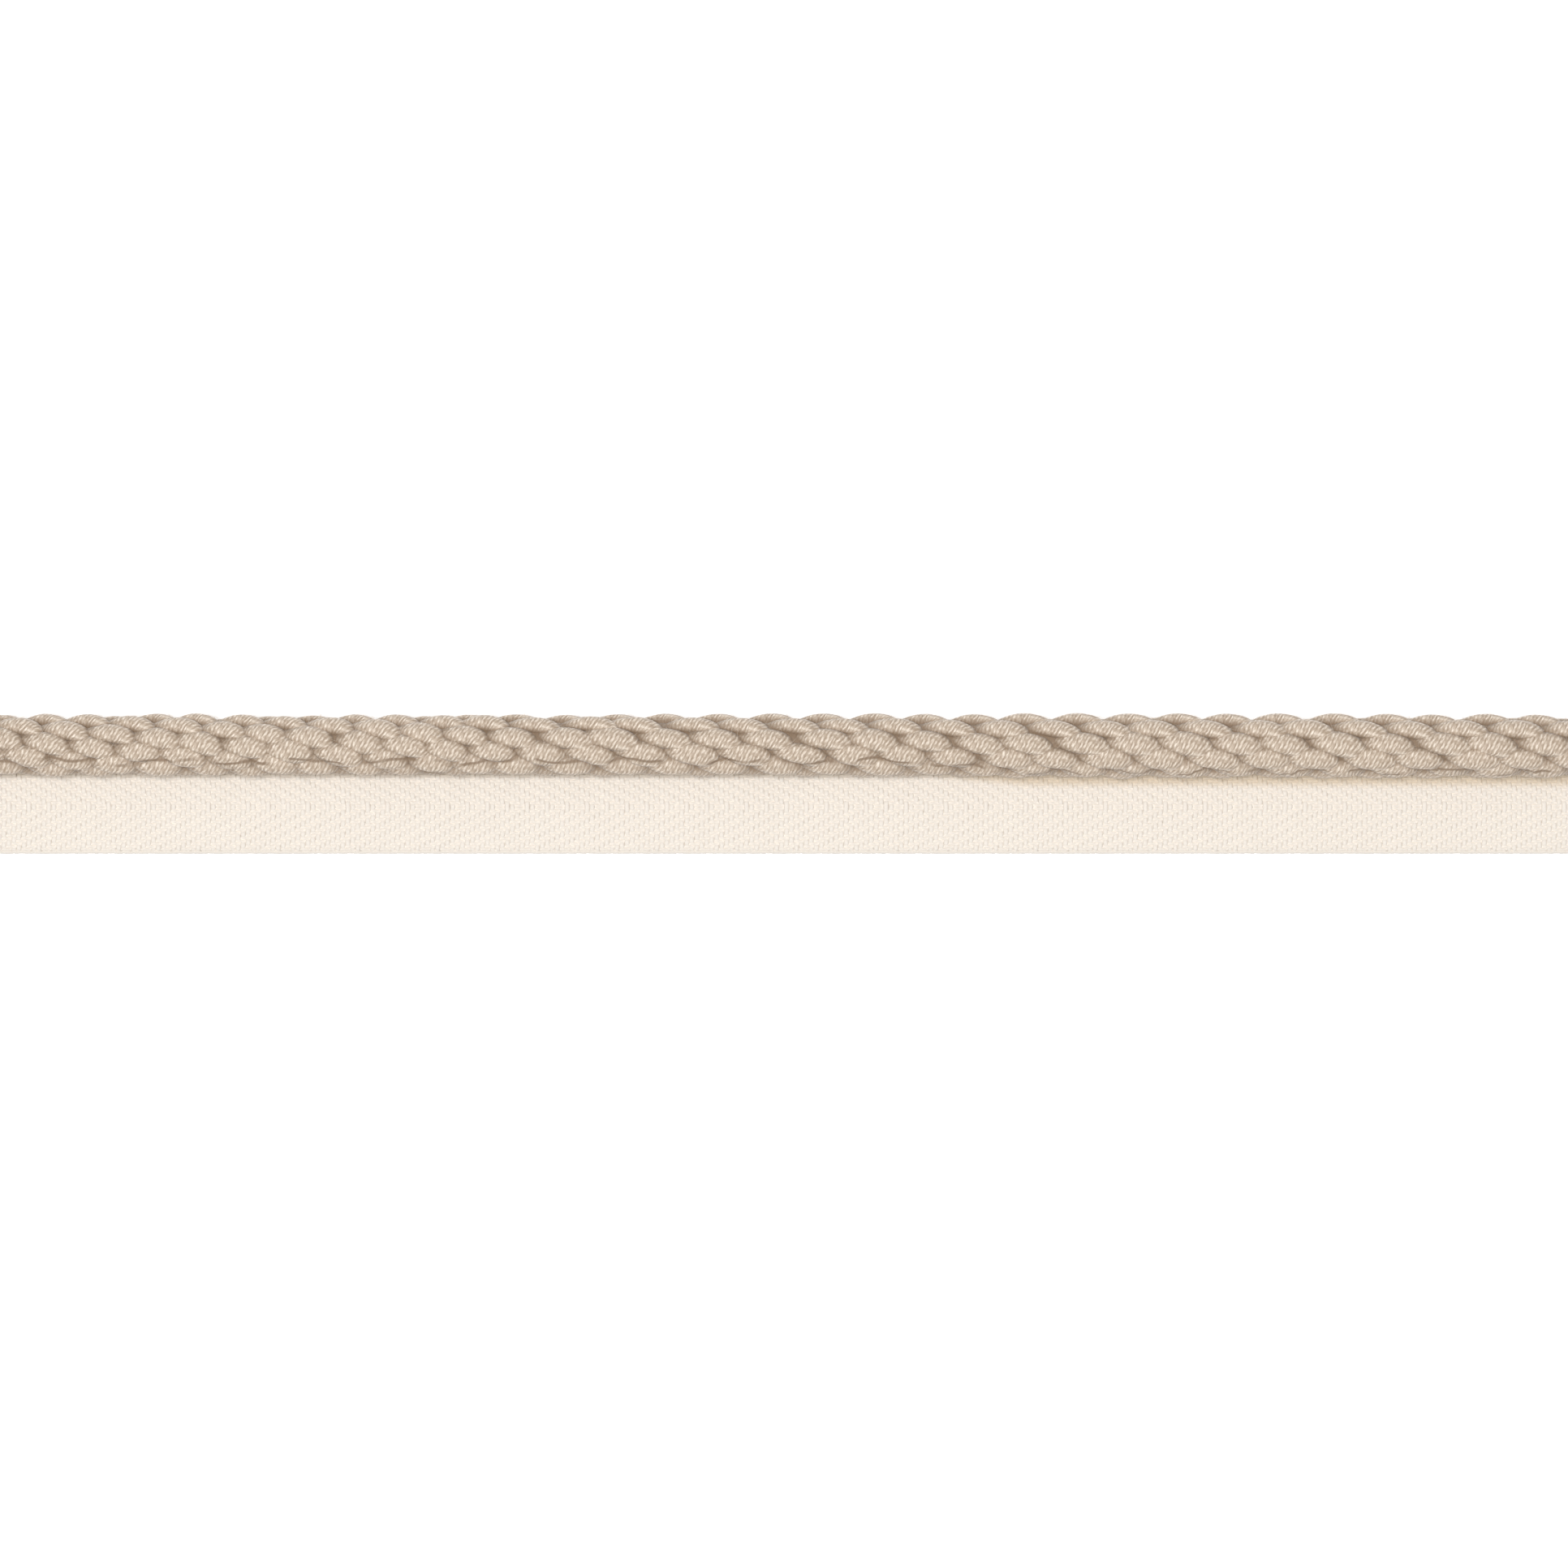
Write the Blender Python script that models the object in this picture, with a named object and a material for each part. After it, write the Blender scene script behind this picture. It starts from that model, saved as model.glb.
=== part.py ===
"""A cut length of braided lip cord: a solid-braided cord sewn along one edge of a herringbone tape.

Metres, +Z up. The trim lies flat on z = 0 and runs along X, with the tape beside the cord towards -Y.
The origin is at the middle of the whole piece, on the surface that it lies on.
"""

import math
import random

import bmesh
import bpy
import numpy as np
from mathutils import Matrix

MM = 0.001

# Driving sizes of the trim
LENGTH = 240 * MM
TRIM_WIDTH = 20.64 * MM
CORD_DIAMETER = 9.6 * MM
TAPE_WIDTH = 13.8 * MM
TAPE_THICKNESS = 1.0 * MM
GAP = 0.3 * MM

# The cord is pressed a little flat where it rests on the surface, and seated on the tape's hidden edge
REST_FLAT_DEPTH = 0.2 * MM
CORD_RADIUS = CORD_DIAMETER / 2
CORD_Y = TRIM_WIDTH / 2 - CORD_RADIUS
CORD_Z = CORD_RADIUS - REST_FLAT_DEPTH
TAPE_FREE_EDGE = -TRIM_WIDTH / 2
TAPE_HIDDEN_EDGE = TAPE_FREE_EDGE + TAPE_WIDTH
SEAT_Y = TAPE_HIDDEN_EDGE + GAP
SEAT_Z = TAPE_THICKNESS + GAP
SEAT_LEDGE = 0.2 * MM
SEAT_STEP_HEIGHT = 0.4 * MM

# From just outside the cord's outline to its hidden edge, the stitches press the tape thinner
PRESSED_FROM = CORD_Y - CORD_RADIUS - GAP
PRESSED_EDGE_THICKNESS = 0.8 * MM

# The braid has nine rows of floats round the cord, each row five ninths of a float on from the last.
# Angles run from the top of the cord towards the tape, and the rows crowd together on that sewn side.
ROWS = 9
ROW_SHIFT = 5 / ROWS
ROW_STEP = math.radians(360 / ROWS)
FIRST_ROW_ANGLE = math.radians(-14)
SEWN_SIDE_ANGLE = math.radians(45)
SEWN_SIDE_CROWDING = 0.18
CREASE_DEPTH = 1.5 * MM
UNEVENNESS_SEED = 7
UNEVEN_SHIFT = 0.04
UNEVEN_STAND = 0.12

# Floats counted along the cord from float 0 of row 0: they are shorter in the first third
COUNT_AT = {
    "x": (-120 * MM, -40.6 * MM, 120 * MM),
    "floats": (-11.93, 0.0, 21.13),
}
# How many rows the braid has turned about its axis, against the untwisted right-hand end
TURN_AT = {
    "x": (-120 * MM, -85 * MM, -50 * MM, -38 * MM, 16 * MM, 28 * MM, 120 * MM),
    "rows": (3.6, 2.1, 0.7, 0.45, 0.35, 0.1, 0.05),
}

# One float, measured in floats along the cord and in rows across it
FLOAT_START = -0.62
FLOAT_END = 0.54
FLOAT_CROWN = 0.72
FLOAT_SLOPE = 0.75
FLOAT_HALF_WIDTH = 0.60
FLOAT_END_WIDTH = 0.35
FLOAT_LEAN = 0.35

# The cord's mesh: six sections to a float, and three points to a row of the braid round each section
SECTIONS_PER_FLOAT = 6
POINTS_PER_ROW = 3
UNDERSIDE_PLACE = 5
SEAT_PLACE = 4.54
POINTS_BEFORE_SEAT = 2
SHARP_ANGLE = math.radians(60)

CORD_COLOUR = (0.553, 0.457, 0.367, 1.0)
TAPE_COLOUR = (0.888, 0.815, 0.716, 1.0)


def clear_scene():
    for obj in list(bpy.data.objects):
        bpy.data.objects.remove(obj)


def yarn_material(name, colour, roughness):
    material = bpy.data.materials.new(name)
    material.use_nodes = True
    shader = material.node_tree.nodes["Principled BSDF"]
    shader.inputs["Base Color"].default_value = colour
    shader.inputs["Roughness"].default_value = roughness
    shader.inputs["Metallic"].default_value = 0.0
    return material


def x_of_count(count):
    return float(np.interp(count, COUNT_AT["floats"], COUNT_AT["x"]))


def rows_turned(count):
    return float(np.interp(x_of_count(count), TURN_AT["x"], TURN_AT["rows"]))


def angle_of_place(place):
    """Angle of a place counted in rows round the cord."""
    even = FIRST_ROW_ANGLE + place * ROW_STEP
    return even - SEWN_SIDE_CROWDING * math.sin(even - SEWN_SIDE_ANGLE)


def uneven_floats():
    """For each float of each row, how far on it lies and how high it stands, against an even braid."""
    chance = random.Random(UNEVENNESS_SEED)
    first = math.floor(COUNT_AT["floats"][0]) - ROWS
    last = math.ceil(COUNT_AT["floats"][-1]) + ROWS
    uneven = {}
    for row in range(ROWS):
        for number in range(first, last):
            shift = chance.uniform(-UNEVEN_SHIFT, UNEVEN_SHIFT)
            uneven[row, number] = (shift, 1 - chance.uniform(0, UNEVEN_STAND))
    return uneven


def float_height(along, across):
    """Height of a float's back, 0 to 1: it comes up slowly from under its neighbour and ends blunt."""
    share = (along - FLOAT_START) / (FLOAT_END - FLOAT_START)
    if not 0 < share < 1:
        return 0.0
    if share < FLOAT_CROWN:
        rise = math.sin(share / FLOAT_CROWN * math.pi / 2)
    else:
        rise = math.sqrt(1 - ((share - FLOAT_CROWN) / (1 - FLOAT_CROWN)) ** 2)
    side = across / (FLOAT_HALF_WIDTH * (FLOAT_END_WIDTH + (1 - FLOAT_END_WIDTH) * rise))
    if abs(side) >= 1:
        return 0.0
    return rise * math.sqrt(1 - side * side) * (1 + FLOAT_LEAN * side)


def braid_radius(count, place, uneven):
    """Radius of the braided surface at a count along the cord and a place round it."""
    height = 0.0
    for row in range(ROWS):
        nearest = math.floor(count - row * ROW_SHIFT)
        for number in (nearest, nearest + 1):
            shift, stand = uneven[row, number]
            middle = number + row * ROW_SHIFT + shift
            along = count - middle
            row_place = row - rows_turned(middle) + FLOAT_SLOPE * along
            across = (place - row_place + ROWS / 2) % ROWS - ROWS / 2
            height = max(height, stand * float_height(along, across))
    return min(CORD_RADIUS, CORD_RADIUS - CREASE_DEPTH * (1 - height))


def surface_point(count, place, stagger, uneven):
    """Point of the braid's surface, staggered along the cord as the rows are, so all floats are drawn alike."""
    count += stagger * place / (2 * ROWS)
    radius = braid_radius(count, place, uneven)
    y = CORD_Y - radius * math.sin(angle_of_place(place))
    z = CORD_Z + radius * math.cos(angle_of_place(place))
    return x_of_count(count), y, z


def section_points(count, stagger, uneven):
    """Points of one section of the cord, from its underside up past the tape and on round.

    The underside is flat on the surface and steps up over the tape's hidden edge.
    """
    points = []
    for number in range(ROWS * POINTS_PER_ROW):
        x, y, z = surface_point(count, UNDERSIDE_PLACE - number / POINTS_PER_ROW, stagger, uneven)
        over_tape = number >= POINTS_BEFORE_SEAT and y < CORD_Y
        if over_tape and z < SEAT_Z:
            y = min(y, SEAT_Y - SEAT_LEDGE)
        points.append((x, y, max(z, SEAT_Z if over_tape else 0.0)))
        if number == POINTS_BEFORE_SEAT - 1:
            x, _, z = surface_point(count, SEAT_PLACE, stagger, uneven)
            foot = min(max(z, 0.0), SEAT_Z - SEAT_STEP_HEIGHT)
            points += [(x, SEAT_Y, foot), (x, SEAT_Y, SEAT_Z)]
    return points


def braided_cord(collection):
    """A round bar with a ring of points at each section, every ring then set out to the braid's surface."""
    uneven = uneven_floats()
    first, last = COUNT_AT["floats"][0], COUNT_AT["floats"][-1]
    sections = round((last - first) * SECTIONS_PER_FLOAT)
    around = ROWS * POINTS_PER_ROW + 2

    bar = bmesh.new()
    bmesh.ops.create_cone(
        bar,
        cap_ends=True,
        segments=around,
        radius1=CORD_RADIUS,
        radius2=CORD_RADIUS,
        depth=LENGTH,
        matrix=Matrix.Rotation(math.pi / 2, 4, "Y"),
    )
    lengthwise = [edge for edge in bar.edges if edge.calc_length() > LENGTH / 2]
    bmesh.ops.subdivide_edges(bar, edges=lengthwise, cuts=sections - 1, use_grid_fill=True)

    rings = [[] for _ in range(sections + 1)]
    for vertex in bar.verts:
        rings[round((vertex.co.x / LENGTH + 0.5) * sections)].append(vertex)
    for section, ring in enumerate(rings):
        ring.sort(key=lambda vertex: math.atan2(-vertex.co.y, -vertex.co.z))
        count = first + (last - first) * section / sections
        stagger = min(1, section / SECTIONS_PER_FLOAT, (sections - section) / SECTIONS_PER_FLOAT)
        for vertex, point in zip(ring, section_points(count, stagger, uneven)):
            vertex.co = point
    bmesh.ops.recalc_face_normals(bar, faces=bar.faces)

    mesh = bpy.data.meshes.new("braided_cord")
    bar.to_mesh(mesh)
    bar.free()
    mesh.shade_smooth()
    mesh.set_sharp_from_angle(angle=SHARP_ANGLE)
    mesh.materials.append(yarn_material("taupe braided yarn", CORD_COLOUR, 0.8))
    collection.objects.link(bpy.data.objects.new("braided_cord", mesh))


def herringbone_tape(collection):
    """The woven tape: a flat strip on the surface, one long edge pressed under the cord, its ends cut square."""
    bpy.ops.mesh.primitive_cube_add(size=1)
    tape = bpy.context.object
    tape.name = "herringbone_tape"
    tape.data.name = "herringbone_tape"
    tape.data.transform(Matrix.Diagonal((LENGTH, TAPE_WIDTH, TAPE_THICKNESS, 1)))
    tape.location = (0, (TAPE_FREE_EDGE + TAPE_HIDDEN_EDGE) / 2, TAPE_THICKNESS / 2)

    strip = bmesh.new()
    strip.from_mesh(tape.data)
    bmesh.ops.bisect_plane(
        strip,
        geom=strip.verts[:] + strip.edges[:] + strip.faces[:],
        plane_co=(0, PRESSED_FROM - tape.location.y, 0),
        plane_no=(0, 1, 0),
    )
    for vertex in strip.verts:
        if vertex.co.y > TAPE_WIDTH / 2 - GAP and vertex.co.z > 0:
            vertex.co.z = PRESSED_EDGE_THICKNESS - TAPE_THICKNESS / 2
    strip.to_mesh(tape.data)
    strip.free()

    tape.data.materials.append(yarn_material("cream cotton tape", TAPE_COLOUR, 0.85))
    for owner in tape.users_collection:
        owner.objects.unlink(tape)
    collection.objects.link(tape)


clear_scene()
trim = bpy.data.collections.new("braided lip cord")
bpy.context.scene.collection.children.link(trim)
braided_cord(trim)
herringbone_tape(trim)
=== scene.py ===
"""Braided lip cord: a taupe braided cord sewn along one edge of a cream herringbone tape, lying flat."""

import math
import random

import bpy
import numpy as np
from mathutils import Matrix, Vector


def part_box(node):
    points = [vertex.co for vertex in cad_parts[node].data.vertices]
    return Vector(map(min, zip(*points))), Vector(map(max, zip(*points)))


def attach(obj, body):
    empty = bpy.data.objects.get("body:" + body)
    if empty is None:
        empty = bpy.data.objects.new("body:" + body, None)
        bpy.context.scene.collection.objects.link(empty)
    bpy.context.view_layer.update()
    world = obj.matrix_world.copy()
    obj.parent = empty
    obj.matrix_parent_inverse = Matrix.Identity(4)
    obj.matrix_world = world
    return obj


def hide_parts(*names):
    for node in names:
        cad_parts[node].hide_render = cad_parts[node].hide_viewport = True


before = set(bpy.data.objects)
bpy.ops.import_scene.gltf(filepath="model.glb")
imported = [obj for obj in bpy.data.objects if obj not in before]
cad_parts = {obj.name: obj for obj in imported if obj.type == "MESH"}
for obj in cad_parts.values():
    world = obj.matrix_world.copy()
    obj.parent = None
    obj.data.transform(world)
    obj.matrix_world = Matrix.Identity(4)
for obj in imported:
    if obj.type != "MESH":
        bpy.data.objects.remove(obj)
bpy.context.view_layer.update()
MM = 0.001


# Warp ends of the herringbone tape: 34 cotton yarns that run the whole length of the tape. They are
# woven 2/2, over two picks and under two, each end one pick on from the last, and the step turns back
# at the chevron line.
TAPE_LOW, TAPE_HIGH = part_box("herringbone_tape")
LENGTH = TAPE_HIGH.x - TAPE_LOW.x
TAPE_THICKNESS = TAPE_HIGH.z - TAPE_LOW.z
TAPE_MIDDLE = TAPE_THICKNESS / 2
UP = (0, 0, 1)
ENDS = 34
PICKS = 324
EDGE_END = 0.20 * MM
END_PITCH = (TAPE_HIGH.y - TAPE_LOW.y - 2 * EDGE_END) / (ENDS - 1)
PICK_PITCH = LENGTH / PICKS
TWILL_REPEAT = 4
CHEVRON_END = 17
WARP_YARN = 0.48 * MM
WARP_SWING = 0.06 * MM
WARP_ARCH, WARP_ARCH_SIZE = 0.03 * MM, 1.05
YARN_WAVER = 0.03 * MM
YARN_SIZES = (0.92, 1.06)
WEAVE_SEED = 11
UNEVEN_PATCHES = 0.9 / MM

# Cotton: its colours, the marks on it in a millimetre, their slope in radians, and how they mix
COTTON_LIGHT, COTTON_DEEP = "#E8E1D8", "#D6CEC4"
COTTON_FIBRES_PER_MM = (3.0, 9.0, 1.0)
COTTON_TWIST = 0.6
COTTON_PATCHES = 0.26 / MM
# Weights in the cotton's tone of its random patches and of the painted highlight on the yarns' crests
PATCH_WEIGHT, CREST_HIGHLIGHT_WEIGHT = 0.12, 0.45
COTTON_TONES = {"From Min": 0.30, "From Max": 0.66}

# Heights from the tape's middle over which a yarn's crest gets a painted highlight, and its furrow a painted
# glow for the light that cotton lets through
PAINTED_CREST_HIGHLIGHT = {"From Min": 0.22 * MM, "From Max": 0.39 * MM}
PAINTED_FURROW_GLOW = {"From Min": 0.06 * MM, "From Max": 0.25 * MM, "To Min": 0.30, "To Max": 0.03}

# Places across the tape between which that painted glow comes up, from the free edge and from under the cord
GLOW_FADE_AT_FREE_EDGE = {"From Min": TAPE_LOW.y + 0.1 * MM, "From Max": TAPE_LOW.y + 0.9 * MM}
GLOW_FADE_UNDER_CORD = {"From Min": 1.3 * MM, "From Max": 0.7 * MM}

# Painted warm shade and reflected cord colour, mixed with taupe fluff rubbed off onto the tape: in from a
# line beside the cord, which steps outwards along the tape
SHADE_AND_FLUFF_TAN, SHADE_AND_FLUFF_STRENGTH = "#C9B9A2", 0.8
SHADE_AND_FLUFF_FROM = {"From Min": 22 * MM, "From Max": 36 * MM, "To Min": 0.5 * MM, "To Max": -0.9 * MM}
SHADE_AND_FLUFF_REACH = 1.5 * MM


def linear(colour):
    """Linear RGBA of an sRGB hex colour."""
    channels = [int(colour[i : i + 2], 16) / 255 for i in (1, 3, 5)]
    return (*[c / 12.92 if c <= 0.04045 else ((c + 0.055) / 1.055) ** 2.4 for c in channels], 1.0)


def add_node(tree, kind, links=(), **settings):
    """A node with its settings; each link gives an input and either a socket or a plain value.

    A Mix node's sockets share their names, so its colours are inputs 6 and 7 and output 2.
    """
    node = tree.nodes.new(kind)
    for name, value in settings.items():
        setattr(node, name, value)
    for name, value in dict(links).items():
        if isinstance(value, bpy.types.NodeSocket):
            tree.links.new(value, node.inputs[name])
        else:
            node.inputs[name].default_value = value
    return node


def added_up(tree, parts, level=0.0):
    """Nodes for a level plus some parts, each with its weight."""
    for part, weight in parts:
        level = add_node(
            tree, "ShaderNodeMath", {0: part, 1: weight, 2: level}, operation="MULTIPLY_ADD"
        ).outputs[0]
    return level


def yarn_tree(name, wrapped):
    """Geometry nodes that sweep a yarn along guide lines, with its UV map, and wind wraps on it if asked.

    The lines carry their outward direction and their size at each point. In the UV map u is the length
    along the yarn and v the way round it, both in millimetres.
    """
    tree = bpy.data.node_groups.new(name, "GeometryNodeTree")
    tree.interface.new_socket("Guide", in_out="INPUT", socket_type="NodeSocketGeometry")
    for size in ("Half width", "Flatness", "Wrap pitch", "Wrap height", "Wrap starts", "Unevenness"):
        tree.interface.new_socket(size, in_out="INPUT", socket_type="NodeSocketFloat")
    for count in ("Points", "Sides"):
        tree.interface.new_socket(count, in_out="INPUT", socket_type="NodeSocketInt")
    tree.interface.new_socket("Yarn", in_out="INPUT", socket_type="NodeSocketMaterial")
    tree.interface.new_socket("Piece", in_out="OUTPUT", socket_type="NodeSocketGeometry")
    given = add_node(tree, "NodeGroupInput").outputs
    spline = add_node(tree, "GeometryNodeSplineParameter").outputs
    outward, size, run, turn = (
        add_node(
            tree, "GeometryNodeInputNamedAttribute", {"Name": attribute}, data_type=data_type
        ).outputs["Attribute"]
        for attribute, data_type in (
            ("outward", "FLOAT_VECTOR"),
            ("size", "FLOAT"),
            ("run", "FLOAT"),
            ("turn", "FLOAT"),
        )
    )

    lines = add_node(tree, "GeometryNodeMeshToCurve", {"Mesh": given["Guide"]}).outputs["Curve"]
    if wrapped:
        smooth = add_node(
            tree, "GeometryNodeCurveSplineType", {"Curve": lines}, spline_type="CATMULL_ROM"
        ).outputs["Curve"]
        lines = add_node(
            tree, "GeometryNodeResampleCurve", {"Curve": smooth, "Count": given["Points"]}
        ).outputs["Curve"]
    tangent = add_node(tree, "GeometryNodeInputTangent").outputs["Tangent"]
    leaning = add_node(
        tree, "ShaderNodeVectorMath", {0: outward, 1: tangent}, operation="PROJECT"
    ).outputs["Vector"]
    square = add_node(
        tree, "ShaderNodeVectorMath", {0: outward, 1: leaning}, operation="SUBTRACT"
    ).outputs["Vector"]
    square = add_node(tree, "ShaderNodeVectorMath", {0: square}, operation="NORMALIZE").outputs["Vector"]
    lines = add_node(
        tree, "GeometryNodeSetCurveNormal", {"Curve": lines, "Normal": square}, mode="FREE"
    ).outputs["Curve"]
    lines = add_node(
        tree,
        "GeometryNodeStoreNamedAttribute",
        {"Geometry": lines, "Name": "run", "Value": spline["Length"]},
    ).outputs["Geometry"]

    ring = add_node(
        tree,
        "GeometryNodeCurvePrimitiveCircle",
        {"Resolution": given["Sides"], "Radius": given["Half width"]},
    ).outputs["Curve"]
    ring = add_node(
        tree,
        "GeometryNodeStoreNamedAttribute",
        {"Geometry": ring, "Name": "turn", "Value": spline["Factor"]},
    ).outputs["Geometry"]
    flat = add_node(tree, "ShaderNodeCombineXYZ", {"X": given["Flatness"], "Y": 1.0, "Z": 1.0}).outputs[0]
    ring = add_node(
        tree, "GeometryNodeTransform", {"Geometry": ring, "Rotation": (0, 0, math.pi)}
    ).outputs["Geometry"]
    ring = add_node(tree, "GeometryNodeTransform", {"Geometry": ring, "Scale": flat}).outputs["Geometry"]
    piece = add_node(
        tree,
        "GeometryNodeCurveToMesh",
        {"Curve": lines, "Profile Curve": ring, "Scale": size, "Fill Caps": True},
    ).outputs["Mesh"]

    place = add_node(tree, "GeometryNodeInputPosition").outputs["Position"]
    uneven = add_node(
        tree,
        "ShaderNodeTexNoise",
        {"Vector": place, "Scale": UNEVEN_PATCHES, "Detail": 1.0},
        noise_dimensions="3D",
    ).outputs[0]
    uneven = add_node(tree, "ShaderNodeMath", {0: uneven, 1: 0.5}, operation="SUBTRACT").outputs[0]
    run = added_up(tree, ((uneven, given["Unevenness"]),), run)
    if wrapped:
        wraps = add_node(
            tree, "ShaderNodeMath", {0: run, 1: given["Wrap pitch"]}, operation="DIVIDE"
        ).outputs[0]
        wraps = added_up(tree, ((turn, given["Wrap starts"]),), wraps)
        wraps = add_node(tree, "ShaderNodeMath", {0: wraps, 1: math.pi}, operation="MULTIPLY").outputs[0]
        wave = add_node(tree, "ShaderNodeMath", {0: wraps}, operation="SINE").outputs[0]
        crest = add_node(tree, "ShaderNodeMath", {0: wave}, operation="ABSOLUTE").outputs[0]
        crest = add_node(
            tree, "ShaderNodeMath", {0: crest, 1: given["Wrap height"]}, operation="MULTIPLY"
        ).outputs[0]
        normal = add_node(tree, "GeometryNodeInputNormal").outputs["Normal"]
        raised = add_node(
            tree, "ShaderNodeVectorMath", {0: normal, "Scale": crest}, operation="SCALE"
        ).outputs["Vector"]
        piece = add_node(
            tree, "GeometryNodeSetPosition", {"Geometry": piece, "Offset": raised}
        ).outputs["Geometry"]

    along = add_node(tree, "ShaderNodeMath", {0: run, 1: 1 / MM}, operation="MULTIPLY").outputs[0]
    around = add_node(
        tree, "ShaderNodeMath", {0: turn, 1: given["Half width"]}, operation="MULTIPLY"
    ).outputs[0]
    around = add_node(
        tree, "ShaderNodeMath", {0: around, 1: 2 * math.pi / MM}, operation="MULTIPLY"
    ).outputs[0]
    uv = add_node(tree, "ShaderNodeCombineXYZ", {"X": along, "Y": around}).outputs[0]
    piece = add_node(
        tree,
        "GeometryNodeStoreNamedAttribute",
        {"Geometry": piece, "Name": "UVMap", "Value": uv},
        data_type="FLOAT2",
        domain="CORNER",
    ).outputs["Geometry"]
    piece = add_node(tree, "GeometryNodeSetShadeSmooth", {"Geometry": piece}).outputs["Geometry"]
    piece = add_node(tree, "GeometryNodeRealizeInstances", {"Geometry": piece}).outputs["Geometry"]
    piece = add_node(
        tree, "GeometryNodeSetMaterial", {"Geometry": piece, "Material": given["Yarn"]}
    ).outputs["Geometry"]
    add_node(tree, "NodeGroupOutput", {"Piece": piece})
    return tree


def yarn_piece(name, lines, tree, sizes):
    """A plain mesh piece: the guide lines with the tree's modifier on them, evaluated and applied.

    A line is a list of points, each with its outward direction and its size.
    """
    guide = bpy.data.meshes.new(name)
    points = [point for line in lines for point in line]
    starts = np.cumsum([0] + [len(line) for line in lines])
    edges = [(i, i + 1) for first, last in zip(starts, starts[1:]) for i in range(first, last - 1)]
    guide.from_pydata([place for place, _, _ in points], edges, [])
    outward = guide.attributes.new("outward", "FLOAT_VECTOR", "POINT")
    outward.data.foreach_set("vector", np.array([way for _, way, _ in points]).ravel())
    size = guide.attributes.new("size", "FLOAT", "POINT")
    size.data.foreach_set("value", [share for _, _, share in points])

    piece = bpy.data.objects.new(name, guide)
    bpy.context.scene.collection.objects.link(piece)
    modifier = piece.modifiers.new("yarn", "NODES")
    modifier.node_group = tree
    for socket in tree.interface.items_tree:
        if socket.name in sizes:
            modifier[socket.identifier] = sizes[socket.name]
    evaluated = piece.evaluated_get(bpy.context.evaluated_depsgraph_get())
    mesh = bpy.data.meshes.new_from_object(evaluated)
    piece.modifiers.remove(modifier)
    piece.data = mesh
    return piece


def new_material(name, values):
    """A material, with what is the same all over it set on its shader's own sockets."""
    material = bpy.data.materials.new(name)
    material.use_nodes = True
    shader = material.node_tree.nodes["Principled BSDF"]
    for socket, value in values.items():
        shader.inputs[socket].default_value = value
    return material


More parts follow.
